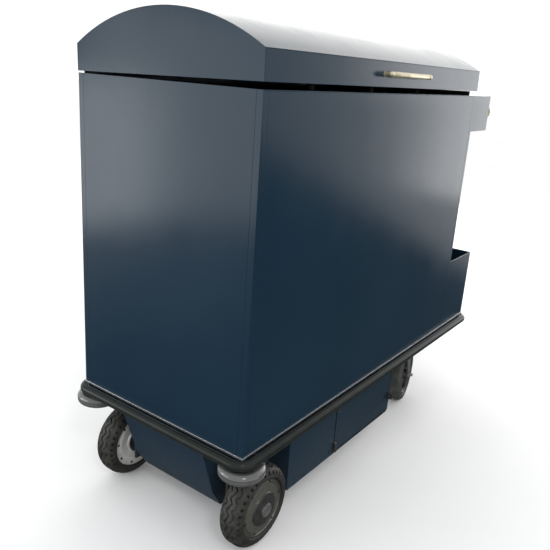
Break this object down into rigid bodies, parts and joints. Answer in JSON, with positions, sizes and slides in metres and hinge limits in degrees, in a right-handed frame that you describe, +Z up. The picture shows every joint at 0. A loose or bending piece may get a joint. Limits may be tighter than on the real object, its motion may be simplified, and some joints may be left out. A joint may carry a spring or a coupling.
{
  "type": "hotel luggage cart",
  "caption": "Powered hotel luggage cart: tall sheet-metal box with a hinged arched lid, rear bin, bumper rail, corner rollers, hub-motor wheels and swivel casters.",
  "frame": {"origin": "floor level under the middle of the overall length and width", "axes": "+Z up, -Y towards the plain front end with the drive wheels, +Y towards the operator end, +X towards the side with the lid handle"},
  "size_m": [0.68, 1.488, 1.3762],
  "materials": {
    "navy_paint": "satin powder coat",
    "frame_paint": "satin black paint",
    "edge_steel": "polished edge",
    "rail_rubber": "smooth grey rubber",
    "roller_gloss": "glossy grey",
    "zinc_steel": "zinc plated",
    "mat_rubber": "matt",
    "handle_brass": "satin",
    "button_cream": "gloss",
    "black_plastic": "satin",
    "battery_case": "matt",
    "cast_aluminium": "turned and cast",
    "copper_winding": "enamelled",
    "drive_tread": "matt",
    "caster_tread": "matt",
    "caster_core": "matt"
  },
  "bodies": {
    "root": {"frame_long_rails": "frame_paint", "frame_cross_members": "frame_paint", "frame_corner_blocks": "frame_paint", "caster_beam": "frame_paint", "deck_pan": "navy_paint", "deck_edge_strips": "edge_steel", "bumper_rail": "rail_rubber", "rail_saddles": "frame_paint", "roller_bolts": "zinc_steel", "front_panel": "navy_paint", "rear_panel": "navy_paint", "left_side_panel": "navy_paint", "right_side_panel": "navy_paint", "corner_posts": "navy_paint", "top_rim": "navy_paint", "floor_mat": "mat_rubber", "lid_buffers": "mat_rubber", "body_hinge_leaves": "zinc_steel", "hinge_pins": "zinc_steel", "control_box_housing": "navy_paint", "control_box_cover": "navy_paint", "switch_bezel": "black_plastic", "bin_walls": "navy_paint", "power_box_floor": "navy_paint", "power_box_end_walls": "navy_paint", "power_box_side_walls": "navy_paint", "battery_pack": "battery_case", "front_fascia": "navy_paint", "motor_controller": "cast_aluminium", "drive_brackets": "frame_paint", "drive_axles": "zinc_steel", "motor_stators": "copper_winding", "caster_mounts": "zinc_steel"},
    "lid": {"lid_roof": "navy_paint", "lid_gables": "navy_paint", "lid_side_skirts": "navy_paint", "lid_frame": "navy_paint", "lid_hinge_leaves": "zinc_steel", "lid_handle_bar": "handle_brass", "lid_handle_posts": "handle_brass"},
    "roller_left": {"corner_roller_left": "roller_gloss"},
    "roller_right": {"corner_roller_right": "roller_gloss"},
    "drive_wheel_left": {"drive_tyre_left": "drive_tread", "drive_hub_left": "cast_aluminium", "hub_cover_left": "black_plastic"},
    "drive_wheel_right": {"drive_tyre_right": "drive_tread", "drive_hub_right": "cast_aluminium", "hub_cover_right": "black_plastic"},
    "fork_left": {"caster_fork_left": "zinc_steel", "caster_bolt_left": "zinc_steel"},
    "fork_right": {"caster_fork_right": "zinc_steel", "caster_bolt_right": "zinc_steel"},
    "caster_wheel_left": {"caster_tyre_left": "caster_tread", "caster_core_left": "caster_core"},
    "caster_wheel_right": {"caster_tyre_right": "caster_tread", "caster_core_right": "caster_core"},
    "door": {"access_door": "navy_paint"},
    "latch": {"latch_knob": "black_plastic"},
    "button": {"switch_button": "button_cream"}
  },
  "joints": [
    {"name": "lid_hinge", "type": "hinge", "parent": "root", "child": "lid", "pos_m": [-0.307, -0.101, 1.21725], "axis": [0, -1, 0], "range_deg": [0, 95]},
    {"name": "roller_left_spin", "type": "hinge", "parent": "root", "child": "roller_left", "pos_m": [-0.278, -0.682, 0.29], "axis": [0, 0, 1], "continuous": true},
    {"name": "drive_wheel_left_spin", "type": "hinge", "parent": "root", "child": "drive_wheel_left", "pos_m": [-0.25, -0.583, 0.117], "axis": [1, 0, 0], "continuous": true},
    {"name": "caster_left_swivel", "type": "hinge", "parent": "root", "child": "fork_left", "pos_m": [-0.187, 0.428, 0.25], "axis": [0, 0, 1], "continuous": true},
    {"name": "caster_left_roll", "type": "hinge", "parent": "fork_left", "child": "caster_wheel_left", "pos_m": [-0.19636, 0.47202, 0.112], "axis": [0.9781, 0.2079, 0], "continuous": true},
    {"name": "roller_right_spin", "type": "hinge", "parent": "root", "child": "roller_right", "pos_m": [0.278, -0.682, 0.29], "axis": [0, 0, 1], "continuous": true},
    {"name": "drive_wheel_right_spin", "type": "hinge", "parent": "root", "child": "drive_wheel_right", "pos_m": [0.25, -0.583, 0.117], "axis": [1, 0, 0], "continuous": true},
    {"name": "caster_right_swivel", "type": "hinge", "parent": "root", "child": "fork_right", "pos_m": [0.187, 0.428, 0.25], "axis": [0, 0, 1], "continuous": true},
    {"name": "caster_right_roll", "type": "hinge", "parent": "fork_right", "child": "caster_wheel_right", "pos_m": [0.17764, 0.47202, 0.112], "axis": [0.9781, 0.2079, 0], "continuous": true},
    {"name": "door_hinge", "type": "hinge", "parent": "root", "child": "door", "pos_m": [0.2635, -0.179, 0.2], "axis": [0, 0, -1], "range_deg": [0, 110]},
    {"name": "latch_turn", "type": "hinge", "parent": "door", "child": "latch", "pos_m": [0.258, 0.185, 0.15], "axis": [1, 0, 0], "range_deg": [0, 90]},
    {"name": "button_press", "type": "slide", "parent": "root", "child": "button", "axis": [0, -1, 0], "range_m": [0, 0.004], "stiffness_N_per_m": 600, "springref_m": -0.002}
  ]
}
